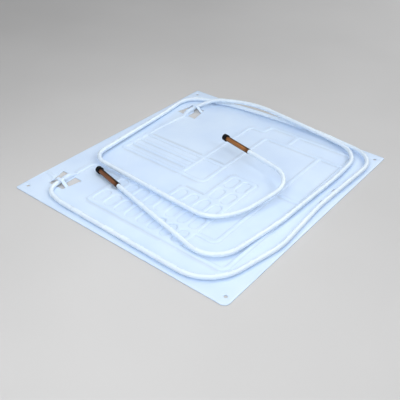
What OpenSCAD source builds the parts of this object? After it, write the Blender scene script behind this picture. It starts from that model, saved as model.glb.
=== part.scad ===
// Evaporator plate: a white-coated roll-bond panel with raised refrigerant
// channels, and two bent aluminium pipes that lie on it. Each pipe starts in a
// socket blown in the panel, passes under a strap lanced from the sheet, follows
// the edge, and ends in a copper stub under a rubber cap.
//
// Routes and channels are laid out from the plate's front left corner, with the
// sheet's underside at height 0. The finished part is moved so that its origin
// is the middle of the corner holes, on the underside.

/* [Plate] */
// Width of the plate, left to right
plate_w = 450; // [430:5:500]
// Length of the plate, front to back
plate_l = 500; // [485:5:560]
// Thickness of the two bonded sheets together
plate_t = 1.5; // [1.2:0.1:2]
// Radius of the front right corner
big_corner_r = 10; // [4:1:14]
// Radius of the other three corners
corner_r = 4; // [2:1:8]
// Diameter of the four corner holes
hole_d = 6; // [4:0.5:7]
// Corner hole to the left or right edge
hole_in_x = 12.5; // [9:0.5:13]
// Corner hole to the front or back edge
hole_in_y = 16.5; // [12:0.5:17]
// Width of the two tie slots beside the right-hand pipe run
tie_slot_w = 4; // [3:0.5:5]
// Length of the tie slots
tie_slot_l = 10; // [8:1:14]
// Middle of the first tie slot, from the front edge
tie_slot_y = 299; // [280:1:310]
// Distance between the two tie slots
tie_slot_pitch = 44; // [35:1:60]

/* [Channels] */
// Width of a channel at its foot
channel_w = 8.5; // [7:0.5:9.5]
// Width of a channel at its flat top
channel_top_w = 4.7; // [3.5:0.1:5.5]
// Height of a channel above the sheet
channel_h = 2; // [1.4:0.1:2.4]
// Width of one cell of the grid, centre to centre of its channels
cell_w = 24.4; // [22:0.1:25]
// Length of one cell of the grid
cell_l = 42.4; // [38:0.1:43]
// Left edge of the grid, measured to its channel's middle
grid_x = 121.6; // [115:0.2:125]
// Front edge of the grid, measured to its channel's middle
grid_y = 56; // [52:1:60]
// Right header to the plate's right edge
right_header_in = 45; // [42:1:50]
// Back header to the plate's back edge
back_header_in = 38; // [35:1:45]

/* [Windows] */
// Middle of the front window's wide end, from the left edge
front_window_x = 49; // [46:0.5:52]
// Angle of the front window's axis to the left edge
front_window_lean = 3; // [0:0.5:5]
// Axis of the back window and its socket, from the left edge
back_window_x = 54; // [50:0.5:56]
// Wide end of the front window, from the front edge
front_window_y = 88; // [86:1:94]
// Wide end of the back window, from the back edge
back_window_in = 109; // [105:1:112]
// Width of a window at its wide end
window_wide = 49; // [46:1:54]
// Width of a window at its narrow end
window_narrow = 33; // [32:1:40]
// Length of a window
window_l = 42; // [40:1:46]
// Middle of a window to the axis of its socket
window_shift = 1; // [0:0.5:2]
// How far one corner of the wide end lies further along than the other
window_skew = 4; // [0:0.5:6]
// Width of the strap across a window
strap_w = 6.5; // [5:0.5:8]

/* [Pipes] */
// Outside diameter of the aluminium pipes
pipe_d = 8; // [7:0.25:8.5]
// Wall of the aluminium pipes
pipe_wall = 1; // [0.7:0.1:1.5]
// Gap between a lying pipe and what it lies on
pipe_gap = 0.3; // [0.2:0.1:0.6]
// Gap all round between a pipe and the socket or stub that it enters
pipe_fit = 0.05; // [0.03:0.01:0.1]
// Depth of the socket that a pipe enters in the panel
socket_depth = 13; // [10:1:15]
// Gap between a pipe's end and the bottom of its socket
socket_gap = 0.2; // [0.1:0.1:0.5]
// Wall of the socket blown in the panel
socket_wall = 0.75; // [0.6:0.05:1]
// Axis of the outer pipe to the front edge, near the front window
front_run_in = 16; // [15:0.5:18]
// Axis of the outer pipe to the right edge, beside the tie slots
right_run_in = 16.5; // [15.5:0.5:18]
// Axis of the outer pipe to the left edge, behind the middle
left_run_in = 20.5; // [18:0.5:24]
// Height of the outer pipe's free end above the sheet
outer_end_rise = 25; // [18:1:30]
// Height of the inner pipe's free end above the sheet
inner_end_rise = 7.7; // [7.5:0.1:12]

/* [Stubs and caps] */
// Length of a copper stub
stub_l = 66; // [60:1:80]
// Wall of a copper stub
stub_wall = 0.7; // [0.5:0.1:1]
// How far a pipe enters its stub
stub_overlap = 12; // [8:1:16]
// Outside diameter of a rubber cap
cap_d = 13; // [12:0.25:14]
// Outside length of a rubber cap
cap_l = 10; // [8:0.5:13]
// Thickness of a cap's closed end
cap_end = 2; // [1.5:0.25:3]
// Rounding of a cap's closed end
cap_round = 2.5; // [1:0.25:3]

/* [Hidden] */
$fn = 64;

white_coat = [0.88, 0.94, 0.99];
copper = [0.62, 0.38, 0.2];
rubber = [0.06, 0.07, 0.08];

pipe_r = pipe_d / 2;
stub_r = pipe_r + pipe_fit + stub_wall;
// Heights of a pipe's axis where it lies on the bare sheet and on channels
lie_z = plate_t + pipe_gap + pipe_r;
over_z = lie_z + channel_h;

// Depth to which raised shapes are sunk into the sheet that they grow from
root = 0.4;
// Every straight reaches this far into its bends, whose section is a hair
// fatter, so that the two overlap cleanly
lap = 0.2;
hair = 0.02;
flank = (channel_w - channel_top_w) / 2;

// Lines of the channel layout, from the left and front edges
left_header_x = 49;
front_header_x = 46.5;
step_x = 189;
step_end_x = 222;
inner_riser_x = 238;
grid_riser_in = 93;
grid_riser_x = plate_w - grid_riser_in;
right_header_x = plate_w - right_header_in;
back_header_y = plate_l - back_header_in;
inner_back_y = back_header_y - 44;
step_y = back_header_y - 25;
serpentine_y = 217;
serpentine_pitch = 21.8;
cross_y = 269;
tie_slot_x = plate_w - right_run_in - pipe_d / 2 - tie_slot_w / 2;
link_x = 286;
header_turn_in = 131;
header_turn_y = back_header_y - header_turn_in;
header_turn_r = 200;

// The grid's columns and rows: the whole width at the front, then narrower
grid_cols = 8;
mid_cols = 4;
back_cols = 2;
front_rows = 2;
mid_rows = 1;
back_rows = 2;
grid_right_x = grid_x + grid_cols * cell_w;

back_window_y = plate_l - back_window_in;
// Middle of a strap and end of a tongue, from the window's wide end
strap_at = window_l - 9.5;
tongue_l = strap_at - strap_w / 2 - 5;
tongue_w = pipe_d + 4;
// Where the swelling of a socket ends and the pipe in it starts
swell_l = tongue_l - socket_depth - 1;
pipe_start = tongue_l - socket_depth + socket_gap;
port_y = 64;

// Routes of the pipes: corners of the route, each with the radius of its bend.
// The first point lies in the socket, the last is the closed end of the cap.
front_axis = [sin(front_window_lean), -cos(front_window_lean)];
front_socket = [front_window_x, front_window_y] + front_axis * pipe_start;
front_exit = [front_window_x, front_window_y] + front_axis * (window_l + 21);
back_socket_y = back_window_y + pipe_start;

outer_end_in = 165;
outer_tip = [195.5, plate_l - outer_end_in, plate_t + outer_end_rise];
outer_route = [
    [front_socket.x, front_socket.y, lie_z],
    [front_exit.x, front_exit.y, lie_z],
    [96, front_run_in, lie_z],
    [plate_w - 37.5, front_run_in - 5.5, lie_z + 1.5],
    [plate_w - 8.5, 152, lie_z + 0.7],
    [plate_w - right_run_in, 283, lie_z + 0.5],
    [plate_w - 8, plate_l - 22.5, lie_z + 2.7],
    [304, plate_l - 3, over_z],
    [119, plate_l - 14.5, lie_z + 1],
    [10.5, plate_l - 45, lie_z + 0.7],
    [left_run_in, 368, lie_z + 0.7],
    [40.5, 143.5, lie_z + 6.2],
    [314, 131.5, over_z + 2],
    [350, 175, over_z + 3.2],
    [376.5, 299, outer_tip.z - 3],
    outer_tip
];
outer_bends = [0, 28, 60, 71, 150, 400, 53, 300, 250, 47, 300, 35, 50, 120, 50, 0];

inner_tip = [75, 123, plate_t + inner_end_rise];
inner_run_out = 10;
inner_run_in = 117;
inner_route = [
    [back_window_x, back_socket_y, lie_z],
    [back_window_x, back_window_y + window_l + 1, lie_z],
    [77, plate_l - 35, lie_z + 10.5],
    [155, plate_l - 6, over_z + 14],
    [325, plate_l - 16, over_z + 5.2],
    [right_header_x + 5, plate_l - 27, over_z + 0.5],
    [right_header_x + inner_run_out, plate_l - inner_run_in, over_z],
    [right_header_x + 3.5, 199, over_z],
    [right_header_x - 16, 49, over_z + 1.5],
    inner_tip
];
inner_bends = [0, 30, 45, 220, 150, 56, 700, 400, 47, 0];

function unit(v) = v / norm(v);
function turn(u, v) = acos(max(-1, min(1, u * v)));

// Direction of the leg that starts at corner i of a route
function leg(route, i) = unit(route[i + 1] - route[i]);

// Length that the bend at corner i takes from each of its two legs
function setback(route, bends, i) =
    i == 0 || i == len(route) - 1 ? 0
    : bends[i] * tan(turn(leg(route, i - 1), leg(route, i)) / 2);

// Matrix that lays the x, y and z axes along three directions at a point
function placed(p, x_dir, y_dir, z_dir) = [
    [x_dir.x, y_dir.x, z_dir.x, p.x],
    [x_dir.y, y_dir.y, z_dir.y, p.y],
    [x_dir.z, y_dir.z, z_dir.z, p.z],
    [0, 0, 0, 1]
];

// A route without its last stretch of the given length
function shortened(route, cut) =
    let (last = len(route) - 1, back = unit(route[last - 1] - route[last]))
    [for (i = [0:last]) i == last ? route[i] + back * cut : route[i]];

// A straight length of a section, from p to q, its y axis towards side
module straight(p, q, side) {
    along = unit(q - p);
    up = unit(side - (side * along) * along);
    multmatrix(placed(p, cross(up, along), up, along))
        linear_extrude(norm(q - p))
            children();
}

// A bend of a section at a corner, from direction u to direction v
module bend(corner, u, v, r, side) {
    axis = unit(cross(u, v));
    angle = turn(u, v);
    if (axis * side < -0.001)
        bend(corner, -v, -u, r, side) children();
    else {
        middle = corner + unit(v - u) * r / cos(angle / 2);
        start = corner - u * r * tan(angle / 2);
        multmatrix(placed(middle, unit(start - middle), u, axis))
            rotate_extrude(angle = angle)
                translate([r, 0])
                    children();
    }
}

// How far along its leg a straight starts at corner i, lapped into the bend
function start_at(route, bends, i) = i == 0 ? 0 : setback(route, bends, i) - lap;
function stop_at(route, bends, i) =
    i == len(route) - 1 ? 0 : setback(route, bends, i) - lap;

// A section carried along a route, with a round bend at every corner. The
// first child is the straights' section, the second is the bends'.
module carried(route, bends, side = [0, 0, 1]) {
    last = len(route) - 1;
    for (i = [0:last - 1])
        straight(route[i] + leg(route, i) * start_at(route, bends, i),
                 route[i + 1] - leg(route, i) * stop_at(route, bends, i + 1), side)
            children(0);
    for (i = [1:1:last - 1])
        bend(route[i], leg(route, i - 1), leg(route, i), bends[i], side)
            children(1);
}

// Puts what stands on the x-y plane on the end of a route, its z axis back
// along the last leg
module on_last_leg(route) {
    last = len(route) - 1;
    back = unit(route[last - 1] - route[last]);
    across = unit(cross([0, 0, 1], back));
    multmatrix(placed(route[last], across, cross(back, across), back))
        children();
}

// Section of a channel, its foot sunk into the sheet
module channel_section(more = 0) {
    foot = channel_w / 2 + more;
    top = channel_top_w / 2 + more;
    polygon([[-foot, -root], [foot, -root], [foot, 0], [top, channel_h + more],
             [-top, channel_h + more], [-foot, 0]]);
}

// A channel along points in plan, rounded by one radius at its corners
module channel(points, r = 10) {
    route = [for (p = points) [p.x, p.y, plate_t]];
    carried(route, [for (p = points) r]) {
        channel_section();
        channel_section(hair);
    }
}

// The round end or sharp corner of a channel
module channel_end(p) {
    translate([p.x, p.y, plate_t - root])
        cylinder(h = root, r = channel_w / 2);
    translate([p.x, p.y, plate_t])
        cylinder(h = channel_h, r1 = channel_w / 2, r2 = channel_top_w / 2);
}

// A raised field whose sides slope as a channel's do, with round corners
module raised_field(x0, y0, x1, y1, r) {
    low = channel_w / 2;
    w = x1 - x0 + 2 * low;
    l = y1 - y0 + 2 * low;
    translate([(x0 + x1) / 2, (y0 + y1) / 2, plate_t]) {
        rotate([90, 0, 0])
            linear_extrude(l - 2 * r, center = true)
                sloped_section(w);
        rotate([90, 0, 90])
            linear_extrude(w - 2 * r, center = true)
                sloped_section(l);
        for (sx = [-1, 1], sy = [-1, 1])
            translate([sx * (w / 2 - r), sy * (l / 2 - r), 0]) {
                translate([0, 0, -root])
                    cylinder(h = root, r = r);
                cylinder(h = channel_h, r1 = r, r2 = r - flank);
            }
    }
}

// Section across a raised field of the given foot width
module sloped_section(w) {
    polygon([
        [-w / 2, -root], [w / 2, -root], [w / 2, 0],
        [w / 2 - flank, channel_h], [-w / 2 + flank, channel_h], [-w / 2, 0]
    ]);
}

// The sunk island of one cell: a slot with round ends and sloping sides
module cell_pocket() {
    foot_r = (cell_w - channel_w) / 2;
    half = (cell_l - channel_w) / 2 - foot_r;
    slope = flank / channel_h;
    below = 2 * root;
    above = channel_h + root;
    low_r = foot_r - below * slope;
    high_r = foot_r + above * slope;
    for (s = [-1, 1])
        translate([0, s * half, -below])
            cylinder(h = below + above, r1 = low_r, r2 = high_r);
    rotate([90, 0, 0])
        linear_extrude(2 * half, center = true)
            polygon([[-low_r, -below], [low_r, -below], [high_r, above], [-high_r, above]]);
}

module cell_block(first_col, first_row, rows) {
    for (i = [first_col:grid_cols - 1], j = [first_row:first_row + rows - 1])
        translate([grid_x + (i + 0.5) * cell_w, grid_y + (j + 0.5) * cell_l, plate_t])
            cell_pocket();
}

// The grid of cells in the middle of the plate
module cell_grid() {
    mid_row = front_rows;
    back_row = front_rows + mid_rows;
    end_row = back_row + back_rows;
    mid_x = grid_x + (grid_cols - mid_cols) * cell_w;
    back_x = grid_x + (grid_cols - back_cols) * cell_w;
    difference() {
        union() {
            raised_field(grid_x, grid_y, grid_right_x, grid_y + mid_row * cell_l, 6);
            raised_field(mid_x, grid_y + cell_l, grid_right_x, grid_y + back_row * cell_l, 10);
            raised_field(back_x, grid_y + cell_l, grid_right_x, grid_y + end_row * cell_l, 10);
        }
        cell_block(0, 0, front_rows);
        cell_block(grid_cols - mid_cols, mid_row, mid_rows);
        cell_block(grid_cols - back_cols, back_row, back_rows);
    }
}

// All other channels
module channel_lines() {
    // Loop from the grid along the front, the right header and the back header,
    // then down two steps into the serpentine
    channel([[grid_right_x - cell_w, grid_y], [right_header_x, grid_y],
             [right_header_x, back_header_y], [step_end_x, back_header_y], [step_end_x, step_y],
             [step_x, step_y], [step_x, serpentine_y]]);
    // From the grid up the inner riser to the inner back line
    channel([[grid_right_x - cell_w, grid_y + cell_l], [grid_riser_x, grid_y + cell_l],
             [grid_riser_x, inner_back_y]]);
    channel([[grid_riser_x, cross_y], [right_header_x, cross_y]]);
    channel([[link_x, back_header_y], [link_x, inner_back_y]]);
    channel([[right_header_x, inner_back_y], [inner_riser_x, inner_back_y],
             [inner_riser_x, serpentine_y], [left_header_x, serpentine_y]]);
    // Left header from the back window, and the serpentine's other three lines
    channel([[back_window_x, back_window_y], [left_header_x, header_turn_y],
             [left_header_x, serpentine_y]], header_turn_r);
    channel_end([left_header_x, serpentine_y]);
    for (i = [1:2])
        channel([[left_header_x, serpentine_y + i * serpentine_pitch],
                 [step_x, serpentine_y + i * serpentine_pitch]]);
    channel([[left_header_x, serpentine_y + 3 * serpentine_pitch],
             [inner_riser_x, serpentine_y + 3 * serpentine_pitch]]);
    // Front header from the front window to the grid
    channel([[front_window_x, front_window_y], [front_header_x, front_window_y + 18],
             [front_header_x, grid_y + front_rows * cell_l],
             [grid_x + cell_w, grid_y + front_rows * cell_l]], 12);
    // Port that the channels were blown up through, flattened shut at the edge
    channel([[2, port_y + 2], [front_window_x - window_wide / 2 + 2, port_y - 1]]);
}

// Outline of the bare sheet, with the front right corner rounder
module sheet_outline() {
    w = plate_w;
    l = plate_l;
    a = corner_r;
    b = big_corner_r;
    polygon([[a, 0], [w - b, 0], [w, b], [w, l - a], [w - a, l], [a, l], [0, l - a], [0, a]]);
    for (p = [[a, a], [a, l - a], [w - a, l - a]])
        translate(p)
            circle(r = a);
    translate([w - b, b])
        circle(r = b);
}

module window_outline() {
    translate([window_shift, 0])
        polygon([[-window_wide / 2, window_skew], [window_wide / 2, 0],
                 [window_narrow / 2, window_l], [-window_narrow / 2, window_l]]);
}

// A slot with round ends, along y
module slot_outline(w, l) {
    square([w, l - w], center = true);
    for (s = [-1, 1])
        translate([0, s * (l - w) / 2])
            circle(d = w);
}

// Puts the front window's parts, drawn from its wide end towards its narrow
// end, on their place in the plate
module at_front_window() {
    translate([front_window_x, front_window_y, 0])
        rotate([0, 0, 180 + front_window_lean])
            children();
}

module at_back_window() {
    translate([back_window_x, back_window_y, 0])
        children();
}

module sheet() {
    linear_extrude(plate_t)
        difference() {
            sheet_outline();
            at_front_window() window_outline();
            at_back_window() window_outline();
            for (x = [hole_in_x, plate_w - hole_in_x], y = [hole_in_y, plate_l - hole_in_y])
                translate([x, y])
                    circle(d = hole_d);
            for (y = [tie_slot_y, tie_slot_y + tie_slot_pitch])
                translate([tie_slot_x, y])
                    slot_outline(tie_slot_w, tie_slot_l);
        }
}

// Arch-shaped section of a socket, standing on the sheet's underside
module arch(r) {
    translate([0, lie_z])
        circle(r = r);
    translate([-r, 0.1])
        square([2 * r, lie_z - 0.1]);
}

// Stands a section up across a window's axis, at a distance from its wide end
module across_window(y, l) {
    translate([0, y + l, 0])
        rotate([90, 0, 0])
            linear_extrude(l)
                children();
}

// Tongue left in a window, with the channel swelling into the pipe's socket
module socket() {
    outer_r = pipe_r + pipe_fit + socket_wall;
    slice = 0.5;
    difference() {
        union() {
            translate([-tongue_w / 2, -2, 0])
                cube([tongue_w, tongue_l + 2, plate_t]);
            across_window(swell_l, tongue_l - swell_l)
                arch(outer_r);
            hull() {
                across_window(-8, slice)
                    translate([0, plate_t])
                        channel_section();
                across_window(swell_l, slice)
                    arch(outer_r - 0.05, $fn = 32);
            }
        }
        translate([0, tongue_l - socket_depth, lie_z])
            rotate([-90, 0, 0])
                cylinder(h = socket_depth + 1, r = pipe_r + pipe_fit);
    }
}

// Strap lanced from the sheet, which passes over the pipe
module strap() {
    under = lie_z + pipe_r + pipe_gap;
    top_z = under + plate_t / 2;
    foot = (window_wide + (window_narrow - window_wide) * strap_at / window_l) / 2;
    left = window_shift - foot;
    right = window_shift + foot;
    crown = pipe_r + 1.5;
    foot_z = plate_t / 2 + hair;
    bend_r = 3;
    translate([0, strap_at, 0])
        carried([[left - 3, 0, foot_z], [left + 1, 0, foot_z], [-crown, 0, top_z],
                 [crown, 0, top_z], [right - 1, 0, foot_z], [right + 3, 0, foot_z]],
                [0, bend_r, bend_r, bend_r, bend_r, 0], [0, 1, 0]) {
            square([plate_t, strap_w], center = true);
            square([plate_t + hair, strap_w + hair], center = true);
        }
}

module panel() {
    color(white_coat) {
        sheet();
        cell_grid();
        channel_lines();
        at_front_window() {
            socket();
            strap();
        }
        at_back_window() {
            socket();
            strap();
        }
    }
}

module pipe(route, bends) {
    cut = shortened(route, cap_end + stub_l - stub_overlap);
    color(white_coat)
        difference() {
            pipe_run(cut, bends, pipe_r);
            pipe_run(cut, bends, pipe_r - pipe_wall);
        }
}

module pipe_run(route, bends, r) {
    carried(route, bends) {
        circle(r = r);
        circle(r = r + hair);
    }
}

module stub(route) {
    color(copper)
        on_last_leg(route)
            translate([0, 0, cap_end])
                linear_extrude(stub_l)
                    difference() {
                        circle(r = stub_r);
                        circle(r = pipe_r + pipe_fit);
                    }
}

module cap(route) {
    cap_r = cap_d / 2;
    color(rubber)
        on_last_leg(route)
            rotate_extrude()
                difference() {
                    union() {
                        square([cap_r - cap_round, cap_l]);
                        translate([0, cap_round])
                            square([cap_r, cap_l - cap_round]);
                        translate([cap_r - cap_round, cap_round])
                            circle(r = cap_round);
                    }
                    translate([-1, cap_end])
                        square([stub_r + 1, cap_l]);
                }
}

module placed_part() {
    translate([-plate_w / 2, -plate_l / 2, 0])
        children();
}

placed_part() panel();
placed_part() pipe(outer_route, outer_bends);  // outer_pipe
placed_part() pipe(inner_route, inner_bends);  // inner_pipe
placed_part() stub(outer_route);  // outer_stub
placed_part() stub(inner_route);  // inner_stub
placed_part() cap(outer_route);  // outer_cap
placed_part() cap(inner_route);  // inner_cap
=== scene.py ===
# %% [markdown]
# # An evaporator plate
# The cold plate of a small refrigerator: two aluminium sheets bonded together,
# with channels blown up between them, and two pipes that carry the refrigerant
# in and out. Everything is coated in white lacquer, apart from the two copper
# stubs and their rubber caps. The script loads the imported model, builds each
# part again as its own mesh with its own surface, and hides the solids it replaces.

# %% Load the imported model
import bpy
import numpy as np
from mathutils import Matrix, Vector
from mathutils.geometry import delaunay_2d_cdt


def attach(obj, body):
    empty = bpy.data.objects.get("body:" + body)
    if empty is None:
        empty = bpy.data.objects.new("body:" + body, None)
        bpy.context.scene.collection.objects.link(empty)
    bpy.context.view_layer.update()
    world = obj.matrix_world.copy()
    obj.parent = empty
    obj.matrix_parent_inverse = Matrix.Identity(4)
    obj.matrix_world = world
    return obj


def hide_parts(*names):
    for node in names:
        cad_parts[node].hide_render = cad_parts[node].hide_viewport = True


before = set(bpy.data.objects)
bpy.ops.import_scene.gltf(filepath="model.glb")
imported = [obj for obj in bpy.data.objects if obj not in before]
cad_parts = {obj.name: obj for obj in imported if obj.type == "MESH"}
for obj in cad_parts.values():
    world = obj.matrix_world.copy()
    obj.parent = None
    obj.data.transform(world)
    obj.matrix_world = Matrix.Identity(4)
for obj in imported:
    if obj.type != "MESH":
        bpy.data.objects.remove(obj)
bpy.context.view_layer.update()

print("solids:", ", ".join(sorted(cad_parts)))

# %% [markdown]
# ## Measures
# All shapes are worked out in millimetres from the plate's front left corner,
# with the sheet's underside at height 0, and moved to the middle of the plate
# when they become meshes. So a number here is a distance that could be measured
# on the plate with a ruler.

# %% Measures of the plate and its pipes
plate_w, plate_l, plate_t = 450.0, 500.0, 1.5
channel_w, channel_h, channel_bend = 8.5, 2.0, 10.0
pipe_r, pipe_wall, pipe_gap = 4.0, 1.0, 0.3
lie_z = plate_t + pipe_gap + pipe_r     # axis of a pipe on the bare sheet
over_z = lie_z + channel_h              # axis of a pipe on the channels
window_wide, window_narrow, window_l = 49.0, 33.0, 42.0
window_shift, window_skew = 1.0, 4.0    # sideways, and between the wide end's corners
strap_w, strap_at = 6.5, window_l - 9.5
tongue_w, tongue_l = 12.0, strap_at - strap_w / 2 - 5
socket_depth, socket_r, bore_r = 13.0, 4.8, 4.05
swell_l = tongue_l - socket_depth - 1
stub_l, stub_overlap, stub_r = 66.0, 12.0, 4.75
cap_r, cap_l, cap_end, cap_round = 6.5, 10.0, 2.0, 2.5
print(f"plate {plate_w:g} x {plate_l:g} x {plate_t:g} mm, pipes {2 * pipe_r:g} mm thick")


# %% [markdown]
# ## Small helpers
# A piece is a grid of points, row after row, or a list of triangles. The helper
# puts it into a mesh object at the origin and joins it to the one body.


# %% Make a mesh object from points and faces
def unit(v):
    """The vector divided by its own length, along the last axis."""
    return v / np.linalg.norm(v, axis=-1, keepdims=True)


def piece(name, points, faces, material, uv=None):
    """Mesh of points in mm, moved to the middle of the plate, in metres."""
    mesh = bpy.data.meshes.new(name)
    shifted = (np.asarray(points) - (plate_w / 2, plate_l / 2, 0)) / 1000
    mesh.from_pydata(shifted.tolist(), [], faces)
    mesh.polygons.foreach_set("use_smooth", np.ones(len(mesh.polygons), bool))
    if uv is not None:
        corners = np.empty(len(mesh.loops), np.int32)
        mesh.loops.foreach_get("vertex_index", corners)
        layer = mesh.uv_layers.new(name="along")
        layer.data.foreach_set("uv", uv[corners].astype(np.float32).ravel())
    mesh.materials.append(material)
    mesh.update()
    made = bpy.data.objects.new(name, mesh)
    bpy.context.scene.collection.objects.link(made)
    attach(made, "root")
    print(f"{name}: {len(mesh.vertices)} points, {len(mesh.polygons)} faces")
    return made


def ring_faces(rows, cols, wrap=False):
    """Four-sided faces between neighbouring rows of closed rings. With wrap,
    the last row joins the first, as on a doughnut."""
    i = np.arange(rows if wrap else rows - 1)[:, None]
    j = np.arange(cols)[None, :]
    here, there = i * cols, (i + 1) % rows * cols
    right = (j + 1) % cols
    return np.stack([here + j, here + right, there + right, there + j], -1).reshape(-1, 4)


def end_fan(ring, hub, flip=False):
    """Triangles from a ring of point numbers to one hub point."""
    ahead = np.roll(ring, -1)
    fan = np.stack([ring, ahead, np.full(len(ring), hub)], -1)
    return fan[:, ::-1] if flip else fan


# %% [markdown]
# ## Lacquer, copper and rubber
# The lacquer is a cool white with a soft sheen. Under a lamp its surface has
# the faint ripple of sprayed paint, and painted shade darkens it where a channel
# meets the sheet, in the crease where shade falls. Colour and roughness come from
# noise on the object's own coordinates, so they stay put when the part is moved.


# %% White lacquer
def shader(name):
    """A new material with its node tree, its shader and a node maker."""
    material = bpy.data.materials.new(name)
    material.use_nodes = True
    tree = material.node_tree
    bsdf = tree.nodes["Principled BSDF"]

    def add(kind, **values):
        node = tree.nodes.new(kind)
        for key, value in values.items():
            if hasattr(node, key):
                setattr(node, key, value)
            else:
                node.inputs[key.replace("_", " ").title()].default_value = value
        return node

    return material, tree, bsdf, add


def noise(tree, add, source, scale, detail=2.0):
    """Noise of a given number of ripples per metre."""
    made = add("ShaderNodeTexNoise", Scale=scale, Detail=detail)
    tree.links.new(source, made.inputs["Vector"])
    return made.outputs["Fac"]


def ramp(tree, add, source, stops):
    """Colour ramp through (position, colour) stops."""
    made = add("ShaderNodeValToRGB")
    elements = made.color_ramp.elements
    for element, (at, colour) in zip(elements, (stops[0], stops[-1])):
        element.position, element.color = at, (*colour, 1)
    for at, colour in stops[1:-1]:
        elements.new(at).color = (*colour, 1)
    tree.links.new(source, made.inputs["Fac"])
    return made.outputs["Color"]


def bump(tree, add, bsdf, source, strength, distance):
    """Small relief from a grey value, distance in metres."""
    made = add("ShaderNodeBump", Strength=strength, Distance=distance)
    tree.links.new(source, made.inputs["Height"])
    tree.links.new(made.outputs["Normal"], bsdf.inputs["Normal"])


# colour of the painted shade in the creases at the channels' feet
painted_shade_colour = (0.38, 0.43, 0.46)


def white_lacquer(name, darker, lighter, gloss):
    """Cool white paint with a sprayed ripple, mottling and painted shade in its creases."""
    material, tree, bsdf, add = shader(name)
    place = add("ShaderNodeTexCoord").outputs["Object"]
    tint = ramp(tree, add, noise(tree, add, place, 14.0, 3.0),
                [(0.35, darker), (0.65, lighter)])
    # painted shade: the crease attribute mixes the colour towards a grey at the channels' feet
    crease = add("ShaderNodeAttribute")
    crease.attribute_name = "crease"
    painted_shade = add("ShaderNodeMix")
    painted_shade.data_type = "RGBA"
    tree.links.new(crease.outputs["Fac"], painted_shade.inputs["Factor"])
    tree.links.new(tint, painted_shade.inputs[6])
    painted_shade.inputs[7].default_value = (*painted_shade_colour, 1)
    tree.links.new(painted_shade.outputs[2], bsdf.inputs["Base Color"])
    rough = ramp(tree, add, noise(tree, add, place, 60.0),
                 [(0.3, (gloss,) * 3), (0.7, (gloss + 0.1,) * 3)])
    tree.links.new(rough, bsdf.inputs["Roughness"])
    bump(tree, add, bsdf, noise(tree, add, place, 700.0, 1.0), 0.1, 0.00003)
    bsdf.inputs["Specular IOR Level"].default_value = 0.5
    return material


lacquer = white_lacquer("white_lacquer", (0.60, 0.74, 0.94), (0.65, 0.785, 0.96), 0.33)
# the sheet's lacquer painted lighter for the pipes: painted light for the brighter shine on their
# round tops
lightened_pipe_lacquer = white_lacquer("lightened_pipe_lacquer", (0.70, 0.82, 0.95), (0.75, 0.86, 0.97), 0.22)
print("made", lacquer.name, "and", lightened_pipe_lacquer.name)


# %% Copper and rubber
def drawn_copper(name, brightest):
    """Dull copper with streaks drawn out along the tube. Painted shade and painted
    reflection darken two bands along it, with a painted highlight left between
    them. It is darker at both ends: painted shade by the cap, and darker at the mouth."""
    material, tree, bsdf, add = shader(name)
    along = add("ShaderNodeUVMap")
    along.uv_map = "along"
    stretch = add("ShaderNodeMapping")
    stretch.inputs["Scale"].default_value = (26.0, 1.6, 1.0)
    tree.links.new(along.outputs["UV"], stretch.inputs["Vector"])
    streaks = noise(tree, add, stretch.outputs["Vector"], 1.0, 5.0)
    shades = [tuple(share * value for value in brightest) for share in (0.42, 0.75, 1.0)]
    tint = ramp(tree, add, streaks, list(zip((0.3, 0.52, 0.72), shades)))
    parts = add("ShaderNodeSeparateXYZ")
    tree.links.new(along.outputs["UV"], parts.inputs["Vector"])
    wander = add("ShaderNodeMath", operation="MULTIPLY_ADD")
    tree.links.new(noise(tree, add, along.outputs["UV"], 5.0), wander.inputs[0])
    wander.inputs[1].default_value = 0.14
    tree.links.new(parts.outputs["X"], wander.inputs[2])
    # painted shade and painted reflection round the tube: two dark bands along its sides, full
    # brightness between them as a painted highlight
    round_by = [(0.0, 0.4), (0.16, 0.08), (0.3, 0.06), (0.37, 0.6), (0.43, 1.0), (0.56, 1.0),
                (0.65, 0.5), (0.72, 0.1), (0.85, 0.4), (1.0, 0.4)]
    # darker near the cap, as painted shade from it, and darker towards the mouth
    end_to_end = [(0.1, 0.35), (0.22, 1.0), (0.85, 1.0), (1.0, 0.3)]
    for source, stops in ((wander.outputs[0], round_by), (parts.outputs["Y"], end_to_end)):
        painted_shading = ramp(tree, add, source, [(at, (shade, shade, shade)) for at, shade in stops])
        shaded_tint = add("ShaderNodeMix", data_type="RGBA", blend_type="MULTIPLY")
        shaded_tint.inputs["Factor"].default_value = 1.0
        tree.links.new(tint, shaded_tint.inputs[6])
        tree.links.new(painted_shading, shaded_tint.inputs[7])
        tint = shaded_tint.outputs[2]
    tree.links.new(tint, bsdf.inputs["Base Color"])
    rough = ramp(tree, add, streaks, [(0.3, (0.52,) * 3), (0.7, (0.34,) * 3)])
    tree.links.new(rough, bsdf.inputs["Roughness"])
    bump(tree, add, bsdf, streaks, 0.25, 0.0001)
    bsdf.inputs["Metallic"].default_value = 0.85
    return material


def moulded_rubber():
    """Black rubber with the fine grain of its mould."""
    material, tree, bsdf, add = shader("moulded_rubber")
    place = add("ShaderNodeTexCoord").outputs["Object"]
    tint = ramp(tree, add, noise(tree, add, place, 300.0),
                [(0.3, (0.003, 0.0035, 0.004)), (0.7, (0.007, 0.0075, 0.009))])
    tree.links.new(tint, bsdf.inputs["Base Color"])
    bump(tree, add, bsdf, noise(tree, add, place, 1500.0), 0.3, 0.00005)
    bsdf.inputs["Roughness"].default_value = 0.6
    bsdf.inputs["Specular IOR Level"].default_value = 0.1
    return material


far_copper = drawn_copper("drawn_copper", (0.60, 0.255, 0.085))
# the same copper, made darker for the nearer stub
near_copper = drawn_copper("darker_copper", (0.41, 0.17, 0.078))
rubber = moulded_rubber()
print("made", far_copper.name, near_copper.name, "and", rubber.name)

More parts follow.
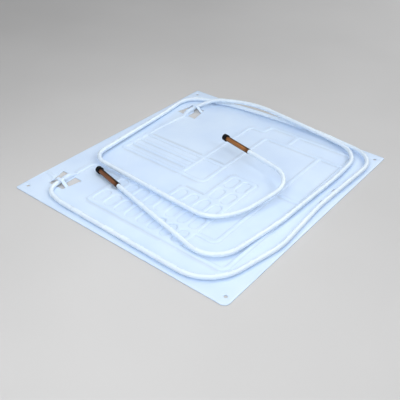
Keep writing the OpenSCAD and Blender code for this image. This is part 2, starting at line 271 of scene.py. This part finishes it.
# %% [markdown]
# ## The channels
# The channels are lines on the sheet, each with the same rounded section. The
# height of the sheet at a point depends only on how far inside a channel's foot
# the point is, so the whole relief is one function of x and y. Lines that meet
# are blended, as the blown metal is.


# %% Lines with rounded corners
def rounded_line(corners, radii, step=4.0):
    """Points along straight legs joined by arcs that touch both legs."""
    corners = np.asarray(corners, float)
    radii = np.broadcast_to(radii, len(corners))
    parts = [corners[:1]]
    for before, corner, after, radius in zip(corners, corners[1:], corners[2:], radii[1:]):
        u, v = unit(corner - before), unit(after - corner)
        angle = np.arccos(np.clip(u @ v, -1, 1))
        middle = corner + unit(v - u) * radius / np.cos(angle / 2)
        start = unit(corner - u * radius * np.tan(angle / 2) - middle)
        turn = np.linspace(0, angle, max(3, int(np.degrees(angle) / step) + 2))[:, None]
        parts.append(middle + radius * (np.cos(turn) * start + np.sin(turn) * u))
    return np.vstack(parts + [corners[-1:]])


def reach(xy, line):
    """Distance from each point to a line of straight bits."""
    nearest = np.full(len(xy), 1e9)
    for a, b in zip(line, line[1:]):
        span = b - a
        share = np.clip((xy - a) @ span / max(span @ span, 1e-12), 0, 1)
        nearest = np.minimum(nearest, np.hypot(*(xy - a - share[:, None] * span).T))
    return nearest


# %% The layout of the channels
grid_x, grid_y, cell_w, cell_l, grid_cols, grid_rows = 121.6, 56.0, 24.4, 42.4, 8, 5
grid_right = grid_x + grid_cols * cell_w
left_x, front_x, step_x, step_end_x = 49.0, 46.5, 189.0, 222.0
inner_x, riser_x, right_x, link_x = 238.0, 357.0, 405.0, 286.0
back_y, inner_back_y, step_y, cross_y = 462.0, 418.0, 437.0, 269.0
snake_y, snake_pitch = 217.0, 21.8
front_window, back_window = np.array([49.0, 88.0]), np.array([54.0, 391.0])
front_lean = np.radians(3.0)
front_turn_y, front_bend = 106.0, 12.0  # where the channel from each window turns
back_turn_y, back_bend = 331.0, 200.0

channel_lines = [
    [(grid_right - cell_w, grid_y), (right_x, grid_y), (right_x, back_y),
     (step_end_x, back_y), (step_end_x, step_y), (step_x, step_y), (step_x, snake_y)],
    [(grid_right - cell_w, grid_y + cell_l), (riser_x, grid_y + cell_l), (riser_x, inner_back_y)],
    [(riser_x, cross_y), (right_x, cross_y)],
    [(link_x, back_y), (link_x, inner_back_y)],
    [(right_x, inner_back_y), (inner_x, inner_back_y), (inner_x, snake_y), (left_x, snake_y)],
    [(left_x, snake_y + snake_pitch), (step_x, snake_y + snake_pitch)],
    [(left_x, snake_y + 2 * snake_pitch), (step_x, snake_y + 2 * snake_pitch)],
    [(left_x, snake_y + 3 * snake_pitch), (inner_x, snake_y + 3 * snake_pitch)],
]
channels = [rounded_line(line, channel_bend) for line in channel_lines]
channels.append(rounded_line([back_window, (left_x, back_turn_y), (left_x, snake_y)],
                             back_bend))
channels.append(rounded_line([front_window, (front_x, front_turn_y),
                              (front_x, grid_y + 2 * cell_l),
                              (grid_x + cell_w, grid_y + 2 * cell_l)], front_bend))
port = np.array([(2.0, 66.0), (26.5, 63.0)])
print(len(channels), "channels and the port")


# %% How far inside a channel's foot a point is
def box_inside(xy, x0, y0, x1, y1, radius):
    """Distance inside a rectangle with round corners, negative outside."""
    half = np.array([(x1 - x0) / 2, (y1 - y0) / 2])
    q = np.abs(xy - ((x0 + x1) / 2, (y0 + y1) / 2)) - half + radius
    outside = np.hypot(*np.maximum(q, 0).T)
    return radius - outside - np.minimum(q.max(1), 0)


# blocks of cells: first column, first and last line between rows, corner radius
cell_blocks = [(0, 0, 2, 6.0), (4, 1, 3, 10.0), (6, 1, 5, 10.0)]


def cells_inside(xy):
    """Distance inside the raised web of the cell grid: inside its outline and
    outside every sunk island, which is a slot with round ends."""
    foot = channel_w / 2
    web = np.full(len(xy), -1e9)
    for col, first, last, radius in cell_blocks:
        web = np.maximum(web, box_inside(
            xy, grid_x + col * cell_w - foot, grid_y + first * cell_l - foot,
            grid_right + foot, grid_y + last * cell_l + foot, radius))
    island_r = (cell_w - channel_w) / 2
    half = (cell_l - channel_w) / 2 - island_r
    col = np.clip(np.floor((xy[:, 0] - grid_x) / cell_w), 0, grid_cols - 1)
    row = np.clip(np.floor((xy[:, 1] - grid_y) / cell_l), 0, grid_rows - 1)
    across = xy[:, 0] - grid_x - (col + 0.5) * cell_w
    along = xy[:, 1] - grid_y - (row + 0.5) * cell_l
    return np.minimum(web, np.hypot(across, np.maximum(np.abs(along) - half, 0)) - island_r)


def blended(a, b, width=2.0):
    """The larger of two distances, with a smooth fillet of the given width."""
    near = np.maximum(width - np.abs(a - b), 0) / width
    return np.maximum(a, b) + near * near * width / 4


def inside(xy):
    """Distance inside the foot of all channels together."""
    total = cells_inside(xy)
    for line in channels:
        total = blended(total, channel_w / 2 - reach(xy, line))
    return total


# %% Height of the sheet's upper face
def soft_step(x):
    """Rises from 0 to 1 with no slope at either end: 3x² - 2x³."""
    x = np.clip(x, 0, 1)
    return x * x * (3 - 2 * x)


wave_h = 0.06                           # a quarter of the highest wave
windows_x, calm_x, calm_y = 85, 60, 50  # where the windows end, and how the waves fade in


def ripple(xy):
    """Slow waves that a thin sheet has, a quarter of a millimetre at most, and
    none near the windows and the edges: the sum of two sines."""
    x, y = xy.T
    calm = soft_step((x - windows_x) / calm_x) * soft_step((plate_w - x) / calm_x)
    calm = calm * soft_step(y / calm_y) * soft_step((plate_l - y) / calm_y)
    waves = np.sin(x / 31 + y / 83) + np.sin(y / 43 - x / 97 + 1.3)
    return wave_h * calm * (2 + waves)


flank_out, flank_w = 0.2, 2.3           # a flank starts outside the foot, and its width
shut_x, shut_l, shut_h = 1, 22, 0.35    # place, length and share of the port's pressed end


def relief(xy):
    """Height of the channels above the sheet: full inside the flank. The port
    is a channel too, but lower towards the sheet's edge, where it is pressed."""
    height = channel_h * soft_step((inside(xy) + flank_out) / flank_w)
    opened = soft_step((xy[:, 0] - shut_x) / shut_l)
    port_h = (shut_h + (1 - shut_h) * opened) * channel_h
    flat = port_h * soft_step((channel_w / 2 - reach(xy, port) + flank_out) / flank_w)
    return np.maximum(height, flat)


# %% [markdown]
# ## The sheet
# The sheet has an outline, four holes, two slots and two windows, and in each
# window a tongue that is still part of the sheet. A regular grid can't follow
# those edges, so the points are spread by numpy, close together on the flanks
# of the channels and wide apart on the flats, and joined into triangles that
# keep every edge. The cut edge is drawn with a small chamfer, because lacquer
# rounds every edge that it covers.


# %% Outlines of the sheet and its openings
def closed_loop(corners, radii):
    """A closed outline with an arc at every corner."""
    corners = np.asarray(corners, float)
    radii = np.broadcast_to(radii, len(corners))
    first = (corners[0] + corners[-1]) / 2
    line = rounded_line(np.vstack([first, corners, first]),
                        np.concatenate([[0], radii, [0]]), step=12.0)
    return line[:-1]


def in_front(a, b):
    """From across and along the front window, which is turned half round and
    leans by 3 degrees, to the plate."""
    x = front_window[0] - a * np.cos(front_lean) + b * np.sin(front_lean)
    y = front_window[1] - a * np.sin(front_lean) - b * np.cos(front_lean)
    return np.stack([x, y], -1)


def in_back(a, b):
    """From across and along the back window to the plate."""
    return np.stack([back_window[0] + a, back_window[1] + b], -1)


def wide_end(a):
    """How far along the skewed wide end lies at a place across the window."""
    return window_skew * (window_shift + window_wide / 2 - a) / window_wide


window_corners = np.array([
    (window_shift - window_wide / 2, window_skew), (-tongue_w / 2, wide_end(-tongue_w / 2)),
    (-tongue_w / 2, tongue_l), (tongue_w / 2, tongue_l), (tongue_w / 2, wide_end(tongue_w / 2)),
    (window_shift + window_wide / 2, 0), (window_shift + window_narrow / 2, window_l),
    (window_shift - window_narrow / 2, window_l)])
window_radii = [1.2, 0.8, 1.0, 1.0, 0.8, 1.2, 1.2, 1.2]

hole_r, hole_x, hole_y = 3.0, 12.5, 16.5
slot_left, slot_right, slot_l, slot_ys = 425.5, 429.5, 10.0, (299.0, 343.0)
slot_round = (slot_right - slot_left) / 2 - 0.01
plate_radii = [4, 10, 4, 4]

circle = np.linspace(0, 2 * np.pi, 24, endpoint=False)[:, None]
holes = [np.array([x, y]) + hole_r * np.hstack([np.cos(circle), np.sin(circle)])
         for x in (hole_x, plate_w - hole_x) for y in (hole_y, plate_l - hole_y)]
slots = [closed_loop([(slot_left, y - slot_l / 2), (slot_right, y - slot_l / 2),
                      (slot_right, y + slot_l / 2), (slot_left, y + slot_l / 2)], slot_round)
         for y in slot_ys]
outline = closed_loop([(0, 0), (plate_w, 0), (plate_w, plate_l), (0, plate_l)], plate_radii)
windows = [closed_loop(place(*window_corners.T), window_radii) for place in (in_front, in_back)]
openings = holes + slots + windows
print(len(holes), "holes,", len(slots), "slots and", len(windows), "windows")


# %% Spread the points and join them
def area(loop):
    """Signed area of an outline, positive where it runs anticlockwise."""
    x, y = loop.T
    return 0.5 * np.sum(x * np.roll(y, -1) - np.roll(x, -1) * y)


def inset(loop, by):
    """The outline moved sideways to the left of its direction."""
    ahead = unit(np.roll(loop, -1, 0) - loop)
    sides = np.stack([-ahead[:, 1], ahead[:, 0]], -1)
    both = unit(sides + np.roll(sides, 1, 0))
    return loop + both * by / np.maximum((both * sides).sum(1), 0.5)[:, None]


def within(xy, loop):
    """Whether each point is inside a closed outline, by counting crossings."""
    odd = np.zeros(len(xy), bool)
    for (x0, y0), (x1, y1) in zip(loop, np.roll(loop, -1, 0)):
        if y0 != y1:
            crosses = (y0 > xy[:, 1]) != (y1 > xy[:, 1])
            odd ^= crosses & (xy[:, 0] < x0 + (x1 - x0) * (xy[:, 1] - y0) / (y1 - y0))
    return odd


def lattice(pitch):
    """Points of a triangular pattern over the whole plate."""
    rows = np.arange(pitch / 2, plate_l, pitch * 0.866)
    cols = np.arange(pitch / 2, plate_w, pitch)
    x, y = np.meshgrid(cols, rows)
    x = x + np.where(np.arange(len(rows)) % 2, pitch / 2, 0)[:, None]
    return np.stack([x.ravel(), y.ravel()], -1)


def on_sheet(xy, clear):
    """Whether points lie on the sheet, clear of all its edges."""
    keep = within(xy, outline)
    for loop in openings:
        keep &= ~within(xy, loop)
    for loop in [outline] + openings:
        keep[keep] = reach(xy[keep], np.vstack([loop, loop[:1]])) > clear
    return keep


def joined(loops, spread):
    """Triangles over loops and spread points, and the points themselves."""
    xy = np.vstack(loops + [spread])
    starts = np.cumsum([0] + [len(loop) for loop in loops])
    edges = [(a + i, a + (i + 1) % (b - a)) for a, b in zip(starts, starts[1:])
             for i in range(b - a)]
    _, _, faces, came_from, _, _ = delaunay_2d_cdt(
        [Vector(p) for p in xy.tolist()], edges, [], 0, 1e-6)
    faces = np.array(faces)
    order = np.array([source[0] for source in came_from])
    middles = xy[order[faces]].mean(1)
    keep = within(middles, loops[0])
    for loop in loops[1:]:
        keep &= ~within(middles, loop)
    return xy, order[faces[keep]]


# %% Where the points lie on the two faces
fine_pitch, middle_pitch, wide_pitch, under_pitch = 1.05, 2.1, 6.0, 9.0
flank_from, flank_to, flat_from = -1.2, 3.0, -3.2   # distances inside a foot
port_xs, port_ys, port_pitch, port_clear = (1, 30), (58, 72), 1.1, 7
top_clear, under_clear = 0.8, 3.0       # from the edges of the sheet


def top_points():
    """Points close together on the flanks and round the port, further apart
    on the crowns of the channels, and wide apart on the flats."""
    fine, middle, wide = lattice(fine_pitch), lattice(middle_pitch), lattice(wide_pitch)
    depth = inside(fine)
    fine = fine[(depth > flank_from) & (depth < flank_to)]
    middle = middle[inside(middle) > flank_to]
    wide = wide[inside(wide) < flat_from]
    round_port = np.meshgrid(np.arange(*port_xs, port_pitch), np.arange(*port_ys, port_pitch))
    spread = [points[reach(points, port) >= port_clear] for points in (fine, middle, wide)]
    spread = np.vstack(spread + [np.stack(round_port, -1).reshape(-1, 2)])
    return spread[on_sheet(spread, top_clear)]


def under_points():
    """Points for the underside, the same distance apart all over."""
    spread = lattice(under_pitch)
    return spread[on_sheet(spread, under_clear)]


# %% Build the sheet
chamfer = 0.3
# painted shade at the channels' feet, where shade falls in the crease
shade_most, shade_at, shade_w = 0.38, -0.1, 0.65    # share, place past the foot, width


def build_sheet():
    """Upper face with the relief and the waves, underside with the waves only,
    and the cut edges between them as three rows of faces, two of them chamfers."""
    loops = [outline if area(outline) > 0 else outline[::-1]]
    loops += [loop if area(loop) < 0 else loop[::-1] for loop in openings]
    inner = [inset(loop, chamfer) for loop in loops]
    xy, top = joined(inner, top_points())
    low_xy, low = joined(inner, under_points())

    rise, low_rise = ripple(xy), ripple(low_xy)
    top_z = plate_t + relief(xy) + rise
    points = [np.column_stack([xy, top_z]), np.column_stack([low_xy, low_rise])]
    faces = [top, low[:, ::-1] + len(xy)]
    count, start = len(xy) + len(low_xy), 0
    for loop in loops:
        n = len(loop)
        upper = top_z[start:start + n] - chamfer
        points.append(np.column_stack([loop, upper]))
        points.append(np.column_stack([loop, ripple(loop) + chamfer]))
        rows = [start + np.arange(n), count + np.arange(n), count + n + np.arange(n),
                len(xy) + start + np.arange(n)]
        for a, b in zip(rows, rows[1:]):
            faces.append(np.stack([a, b, np.roll(b, -1), np.roll(a, -1)], -1))
        count, start = count + 2 * n, start + n
    sheet = piece("panel_sheet", np.vstack(points), sum([f.tolist() for f in faces], []),
                  lacquer)
    # painted shade: the crease attribute darkens the lacquer just past each channel's foot
    crease = sheet.data.attributes.new("crease", "FLOAT", "POINT")
    painted_shade = np.zeros(count)
    painted_shade[:len(xy)] = shade_most * np.exp(-((inside(xy) - shade_at) / shade_w) ** 2)
    crease.data.foreach_set("value", painted_shade.astype(np.float32))
    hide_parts("panel")


build_sheet()


# %% [markdown]
# ## Sockets and straps
# At each window the channel swells until a pipe fits into it, and a strap cut
# from the sheet passes over the pipe. The socket is one section carried along
# the window: a low dome at first, which grows into an arch with a round bore.

# %% Sockets
socket_low = 0.25                       # a socket's base lies this high in the sheet
swell_back = 8                          # and it starts this far back in its channel
socket_rim, rim_share = 0.3, 0.95       # depth of the eased rim, and its draw inwards
arch_points, side_points, base_points = 28, 5, 6


def socket_section(grow):
    """Closed section across the window: flat underneath, upright sides and a
    round top. It goes from a channel's dome at 0 to the socket's arch at 1."""
    turn = np.linspace(0, np.pi, arch_points)
    half = channel_w / 2 + (socket_r - channel_w / 2) * grow
    spring = plate_t + (lie_z - plate_t) * grow
    rise = channel_h + (socket_r - channel_h) * grow
    power = 0.75 + 0.25 * grow
    top = np.stack([half * np.cos(turn), spring + rise * np.sin(turn) ** power], -1)
    down = np.linspace(spring, socket_low, side_points + 1)[1:]
    left = np.stack([np.full(side_points, -half), down], -1)
    base = np.linspace(-half, half, base_points + 2)[1:-1]
    base = np.stack([base, np.full(base_points, socket_low)], -1)
    right = np.stack([np.full(side_points, half), down[::-1]], -1)
    return np.vstack([top, left, base, right])


def bore_section(radius, count):
    """Circle with as many points as a socket's section."""
    turn = np.concatenate([np.linspace(0, np.pi, arch_points),
                           np.linspace(np.pi, 2 * np.pi, count - arch_points + 2)[1:-1]])
    return np.stack([radius * np.cos(turn), lie_z + radius * np.sin(turn)], -1)


def build_socket(name, place):
    """Sections from inside the channel to the mouth, then back along the bore."""
    stations = [(b, socket_section(soft_step((b + swell_back) / (swell_l + swell_back))))
                for b in np.linspace(-swell_back, swell_l, 16)]
    count = len(stations[0][1])
    arch = stations[-1][1]
    middle = np.array([0, lie_z])
    stations += [(b, arch) for b in np.linspace(swell_l + 2, tongue_l - socket_rim, 6)]
    stations.append((tongue_l, middle + (arch - middle) * rim_share))
    stations.append((tongue_l, bore_section(bore_r + 0.2, count)))
    stations += [(b, bore_section(bore_r, count))
                 for b in (tongue_l - socket_rim, tongue_l - socket_depth)]
    flat = np.vstack([np.column_stack([s[:, 0], np.full(count, b), s[:, 1]])
                      for b, s in stations])
    hubs = np.array([[0, -swell_back, plate_t], [0, tongue_l - socket_depth, lie_z]])
    flat = np.vstack([flat, hubs])
    rows = len(stations)
    faces = ring_faces(rows, count).tolist()
    faces += end_fan(np.arange(count), rows * count, flip=True).tolist()
    faces += end_fan(np.arange((rows - 1) * count, rows * count), rows * count + 1).tolist()
    points = np.column_stack([place(flat[:, 0], flat[:, 1]), flat[:, 2]])
    piece(name, points, [f[::-1] for f in faces], lacquer)


build_socket("front_socket", in_front)
build_socket("back_socket", in_back)


# %% Straps
strap_thinner = 0.06                    # so that its faces and the sheet's never coincide
strap_root, strap_level, strap_bend = 3, 1, 3.0
crown_past, crown_gap = 1.5, 0.3        # beside the pipe, and over it


def band_section(width, thick, round_by=0.35, steps=4):
    """Closed outline of a band's cut end: a rectangle with round corners."""
    turn = np.linspace(0, np.pi / 2, steps)
    quarter = round_by * np.stack([np.cos(turn), np.sin(turn)], -1)
    corners = []
    for quarter_turn, sx, sy in ((0, 1, 1), (1, -1, 1), (2, -1, -1), (3, 1, -1)):
        a = quarter_turn * np.pi / 2
        spin = np.array([[np.cos(a), np.sin(a)], [-np.sin(a), np.cos(a)]])
        corners.append(quarter @ spin + (sx * (width / 2 - round_by), sy * (thick / 2 - round_by)))
    return np.vstack(corners)


def build_strap(name, place):
    """Band carried over the pipe: level feet in the sheet, two slopes and a
    level crown, with a round bend at each change."""
    thick = plate_t - strap_thinner
    foot = (window_wide + (window_narrow - window_wide) * strap_at / window_l) / 2
    crown, low = pipe_r + crown_past, plate_t / 2
    high = lie_z + pipe_r + crown_gap + plate_t / 2
    left, right = window_shift - foot, window_shift + foot
    line = rounded_line([(left - strap_root, low), (left + strap_level, low), (-crown, high),
                         (crown, high), (right - strap_level, low), (right + strap_root, low)],
                        strap_bend, step=8.0)
    ahead = unit(np.gradient(line, axis=0))
    section = band_section(strap_w, thick)
    up = np.stack([-ahead[:, 1], ahead[:, 0]], -1)
    a = line[:, None, 0] + up[:, None, 0] * section[None, :, 1]
    z = line[:, None, 1] + up[:, None, 1] * section[None, :, 1]
    b = np.broadcast_to(strap_at + section[None, :, 0], a.shape)
    rows, cols = a.shape
    points = np.column_stack([place(a.ravel(), b.ravel()), z.ravel()])
    ends = points.reshape(rows, cols, 3)[[0, -1]].mean(1)
    faces = ring_faces(rows, cols).tolist()
    faces += end_fan(np.arange(cols), rows * cols, flip=True).tolist()
    faces += end_fan(np.arange((rows - 1) * cols, rows * cols), rows * cols + 1).tolist()
    piece(name, np.vstack([points, ends]), faces, lacquer)


build_strap("front_strap", in_front)
build_strap("back_strap", in_back)

# %% [markdown]
# ## The pipes
# A pipe is a circle carried along a line in space. The line is made of the
# bends that the pipe was given, and then smoothed a little, because a pipe bent
# by hand has no sudden change from straight to curve.

# %% Routes of the pipes
front_axis = np.array([np.sin(front_lean), -np.cos(front_lean)])
pipe_start = tongue_l - socket_depth + 0.2
outer_tip = (195.5, 335.0, plate_t + 25.0)
outer_route = np.array([
    (*(front_window + front_axis * pipe_start), lie_z),
    (*(front_window + front_axis * (window_l + 21)), lie_z),
    (96, 16, lie_z), (412.5, 10.5, lie_z + 1.5), (441.5, 152, lie_z + 0.7),
    (433.5, 283, lie_z + 0.5), (442, 477.5, lie_z + 2.7), (304, 497, over_z),
    (119, 485.5, lie_z + 1), (10.5, 455, lie_z + 0.7), (20.5, 368, lie_z + 0.7),
    (40.5, 143.5, lie_z + 6.2), (314, 131.5, over_z + 2), (350, 175, over_z + 3.2),
    (376.5, 299, outer_tip[2] - 3), outer_tip])
outer_bends = [0, 28, 60, 71, 150, 400, 53, 300, 250, 47, 300, 35, 50, 120, 50, 0]
inner_tip = (75.0, 123.0, plate_t + 7.7)
inner_route = np.array([
    (back_window[0], back_window[1] + pipe_start, lie_z),
    (back_window[0], back_window[1] + window_l + 1, lie_z),
    (77, 465, lie_z + 10.5), (155, 494, over_z + 14), (325, 484, over_z + 5.2),
    (410, 473, over_z + 0.5), (415, 383, over_z), (408.5, 199, over_z),
    (389, 49, over_z + 1.5), inner_tip])
inner_bends = [0, 30, 45, 220, 150, 56, 700, 400, 47, 0]
print("corners:", len(outer_route) - 2, "in the outer pipe,", len(inner_route) - 2, "in the inner")


# %% Carry a circle along a route
def even_line(line, step):
    """The same line with points a fixed distance apart."""
    length = np.concatenate([[0], np.cumsum(np.linalg.norm(np.diff(line, axis=0), axis=1))])
    at = np.linspace(0, length[-1], int(length[-1] / step) + 1)
    return np.stack([np.interp(at, length, line[:, k]) for k in range(3)], -1)


def eased(line, reach_mm, step):
    """Each point becomes the weighted mean of its neighbours, with a bell of
    weights, and the two ends stay straight."""
    half = int(3 * reach_mm / step)
    bell = np.exp(-0.5 * (np.arange(-half, half + 1) * step / reach_mm) ** 2)
    bell /= bell.sum()
    grow = np.arange(half, 0, -1)[:, None]
    padded = np.vstack([line[0] - (line[1] - line[0]) * grow,
                        line, line[-1] + (line[-1] - line[-2]) * grow[::-1]])
    return np.stack([np.convolve(padded[:, k], bell, "valid") for k in range(3)], -1)


def carried(line, radius, cols):
    """Rings of a circle across a line: the line's point plus radius times the
    cosine of the angle sideways and its sine upwards."""
    ahead = unit(np.gradient(line, axis=0))
    side = unit(np.cross(ahead, (0, 0, 1)))
    up = np.cross(side, ahead)
    turn = np.linspace(0, 2 * np.pi, cols, endpoint=False)[None, :, None]
    radius = np.broadcast_to(radius, len(line))[:, None, None]
    return line[:, None] + radius * (np.cos(turn) * side[:, None] + np.sin(turn) * up[:, None])


# %% Build the pipes
pipe_step, pipe_ease, pipe_cols = 2.0, 5.0, 32


def build_pipe(name, node, route, bends):
    """Outer wall from the socket to the stub, then back along the bore, which
    has a ring at every fourth point only."""
    last = unit(route[-2] - route[-1])
    route = route.copy()
    route[-1] = route[-1] + last * (cap_end + stub_l - stub_overlap)
    line = even_line(rounded_line(route, bends, 2.0), pipe_step)
    line = eased(line, pipe_ease, pipe_step)
    skin = carried(line, pipe_r, pipe_cols)
    bore = carried(line[::-4], pipe_r - pipe_wall, pipe_cols)[:, ::-1]
    bore = np.roll(bore, 1 - pipe_cols // 2, 1)
    rings = np.vstack([skin, bore])
    faces = ring_faces(len(rings), pipe_cols, wrap=True)[:, ::-1]
    made = piece(name, rings.reshape(-1, 3), faces.tolist(), lightened_pipe_lacquer)
    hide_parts(node)


build_pipe("outer_pipe_tube", "outer_pipe", outer_route, outer_bends)
build_pipe("inner_pipe_tube", "inner_pipe", inner_route, inner_bends)


# %% [markdown]
# ## Stubs and caps
# Both are turned shapes: an outline spun round the axis of the pipe's last
# stretch. The stub is a plain tube with rounded rims, open at both ends, and
# the pipe goes a little way into it. The cap has a rounded end and a thicker
# lip, so that it can be pulled off.


# %% Spin an outline round a pipe's end
def spun(route, outline_rz, cols=48):
    """Each (radius, distance) of a closed outline becomes a ring round the
    last leg of the route, with the distance measured back from its tip."""
    back = unit(route[-2] - route[-1])
    across = unit(np.cross((0, 0, 1), back))
    up = np.cross(back, across)
    turn = np.linspace(0, 2 * np.pi, cols, endpoint=False)[None, :, None]
    r, z = np.asarray(outline_rz, float).T
    return (route[-1] + z[:, None, None] * back
            + r[:, None, None] * (np.cos(turn) * across + np.sin(turn) * up))


def build_spun(name, node, route, outline_rz, material):
    """Closed ring surface, with how far round and how far along as its UV."""
    rings = spun(route, outline_rz)
    rows, cols = rings.shape[:2]
    round_by = np.broadcast_to(np.linspace(0, 1, cols), (rows, cols))
    along = np.broadcast_to(np.asarray(outline_rz, float)[:, 1:] / stub_l, (rows, cols))
    made = piece(name, rings.reshape(-1, 3), ring_faces(rows, cols, wrap=True).tolist(),
                 material, uv=np.stack([round_by, along], -1).reshape(-1, 2))
    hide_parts(node)


# %% Stubs
mouth = cap_end + stub_l
stub_outline = [(bore_r, cap_end + 0.3), (bore_r + 0.3, cap_end), (stub_r - 0.2, cap_end),
                (stub_r, cap_end + 0.3)]
stub_outline += [(stub_r, z) for z in np.linspace(cap_end + 3, mouth - 4, 14)]
stub_outline += [(stub_r, mouth - 0.25), (stub_r - 0.15, mouth), (bore_r + 0.15, mouth),
                 (bore_r, mouth - 0.2), (bore_r, mouth - 8)]
build_spun("outer_stub_tube", "outer_stub", outer_route, stub_outline, far_copper)
build_spun("inner_stub_tube", "inner_stub", inner_route, stub_outline, near_copper)

# %% Caps
lip_out, lip_l, cap_gap = 0.2, 1.9, 0.05
bend = np.linspace(0, np.pi / 2, 9)
cap_outline = [(0.001, cap_end), (0.001, 0.0), (1.5, 0.0)]
cap_outline += [(cap_r - lip_out - cap_round + cap_round * np.sin(t),
                 cap_round * (1 - np.cos(t))) for t in bend]
cap_outline += [(cap_r - lip_out, cap_l - lip_l - 0.5), (cap_r, cap_l - lip_l),
                (cap_r, cap_l - 0.4), (cap_r - 0.3, cap_l), (stub_r + 0.25, cap_l),
                (stub_r + cap_gap, cap_l - 0.3), (stub_r + cap_gap, cap_end)]
build_spun("outer_cap_cover", "outer_cap", outer_route, cap_outline, rubber)
build_spun("inner_cap_cover", "inner_cap", inner_route, cap_outline, rubber)

# %% [markdown]
# ## Floor, light and camera
# The floor is pale and plain. The key lamp stands to the right of the plate,
# about 40 degrees up, and a large soft lamp stands behind it, so that the pipes
# throw their soft shadows to the left and to the front. Two weak lamps over the
# front keep those shadows light, and a dim sky fills the rest.

# %% Floor
floor_half, floor_drop = 4.0, 0.0002    # metres


def build_floor():
    """A level square, a hair below the plate."""
    corners = [(-floor_half, -floor_half, -floor_drop), (floor_half, -floor_half, -floor_drop),
               (floor_half, floor_half, -floor_drop), (-floor_half, floor_half, -floor_drop)]
    mesh = bpy.data.meshes.new("floor")
    mesh.from_pydata(corners, [], [(0, 1, 2, 3)])
    made = bpy.data.objects.new("floor", mesh)
    bpy.context.scene.collection.objects.link(made)
    material, tree, bsdf, add = shader("floor_paper")
    place = add("ShaderNodeTexCoord").outputs["Object"]
    tint = ramp(tree, add, noise(tree, add, place, 3.0),
                [(0.3, (0.55, 0.55, 0.55)), (0.7, (0.58, 0.58, 0.58))])
    tree.links.new(tint, bsdf.inputs["Base Color"])
    bsdf.inputs["Roughness"].default_value = 0.9
    mesh.materials.append(material)


build_floor()


# %% Lamps and sky
def soft_lamp(name, at, towards, size, power):
    """A square lamp that faces a point, its size in metres and power in watts."""
    data = bpy.data.lights.new(name, "AREA")
    data.shape, data.size, data.energy = "SQUARE", size, power
    made = bpy.data.objects.new(name, data)
    bpy.context.scene.collection.objects.link(made)
    aim = Vector(towards) - Vector(at)
    made.matrix_world = Matrix.Translation(at) @ aim.to_track_quat("-Z", "Y").to_matrix().to_4x4()
    made.visible_camera = False


soft_lamp("key_lamp", (1.6, 0.0, 1.35), (0, 0, 0), 0.6, 7.5)
soft_lamp("back_lamp", (0.4, 1.5, 1.2), (0, 0, 0), 1.6, 14)
soft_lamp("near_lamp", (0.02, -0.2, 0.65), (0.02, -0.2, 0), 0.65, 1.7)
soft_lamp("front_lamp", (0.35, -1.15, 0.8), (0.05, -0.2, 0), 0.8, 7.5)


sky_low, sky_high = (0.11, 0.11, 0.12), (0.42, 0.42, 0.42)      # what lights the plate
wall_low, wall_high = (0.45, 0.45, 0.46), (0.60, 0.60, 0.61)    # what the camera sees


def build_sky():
    """Sky that lights from overhead and is dim at the horizon, so that round
    shapes turn darker towards their sides. The camera, and rays mirrored or
    let through by a surface, see a pale studio wall there instead."""
    world = bpy.data.worlds.new("sky")
    world.use_nodes = True
    tree = world.node_tree

    def link(source, target):
        tree.links.new(source, target)

    def graded(horizon, overhead):
        """Grey that goes from the horizon's to the one overhead."""
        grey = tree.nodes.new("ShaderNodeValToRGB")
        low, high = grey.color_ramp.elements
        low.position, low.color = 0.0, (*horizon, 1)
        high.position, high.color = 0.9, (*overhead, 1)
        link(parts.outputs["Z"], grey.inputs["Fac"])
        return grey.outputs["Color"]

    direction = tree.nodes.new("ShaderNodeTexCoord")
    parts = tree.nodes.new("ShaderNodeSeparateXYZ")
    link(direction.outputs["Generated"], parts.inputs["Vector"])
    rays = tree.nodes.new("ShaderNodeLightPath")
    seen = rays.outputs["Is Camera Ray"]
    for kind in ("Is Glossy Ray", "Is Transmission Ray"):
        either = tree.nodes.new("ShaderNodeMath")
        either.operation = "MAXIMUM"
        link(seen, either.inputs[0])
        link(rays.outputs[kind], either.inputs[1])
        seen = either.outputs[0]
    mix = tree.nodes.new("ShaderNodeMix")
    mix.data_type = "RGBA"
    link(seen, mix.inputs["Factor"])
    link(graded(sky_low, sky_high), mix.inputs[6])
    link(graded(wall_low, wall_high), mix.inputs[7])
    link(mix.outputs[2], tree.nodes["Background"].inputs["Color"])
    bpy.context.scene.world = world


build_sky()


# %% Camera
def place_camera():
    """Camera above the right-hand front corner. It looks along its aim, and is
    rolled by one degree round it, as the photograph is."""
    data = bpy.data.cameras.new("camera")
    data.sensor_width, data.lens = 36, 55.03
    made = bpy.data.objects.new("camera", data)
    bpy.context.scene.collection.objects.link(made)
    at = Vector((0.5569, -0.7372, 0.5991))
    aim = Vector((-0.50012, 0.64181, -0.58134))
    turned = aim.to_track_quat("-Z", "Y").to_matrix().to_4x4()
    roll = Matrix.Rotation(np.radians(1.083), 4, "Z")
    made.matrix_world = Matrix.Translation(at) @ turned @ roll
    bpy.context.scene.camera = made


place_camera()
bpy.context.scene.view_settings.view_transform = "Standard"
